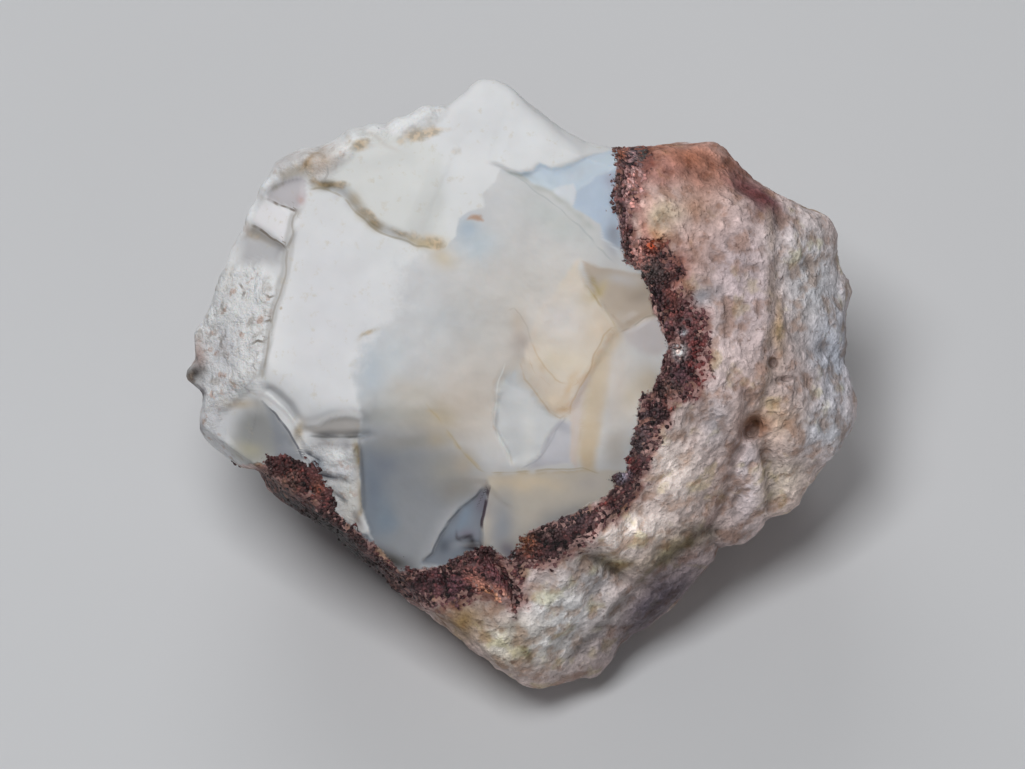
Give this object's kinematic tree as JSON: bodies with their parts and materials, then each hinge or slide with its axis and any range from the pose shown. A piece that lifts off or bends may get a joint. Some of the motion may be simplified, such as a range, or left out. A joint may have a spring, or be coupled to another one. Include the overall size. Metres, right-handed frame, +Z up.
{
  "type": "rough opal in host rock",
  "caption": "Rough lump of white and translucent opal with a red-brown granular rim in pinkish-tan host rock, resting on a flat break.",
  "frame": {"origin": "on the flat resting face, under the middle of the stone", "axes": "+X along the longest extent, from the white potch end to the host rock end; +Z up; the opal face looks towards -Y and up"},
  "size_m": [0.0447, 0.0364, 0.0295],
  "materials": {
    "stone": "satin"
  },
  "bodies": {
    "root": {"rough_opal": "stone"}
  },
  "joints": []
}
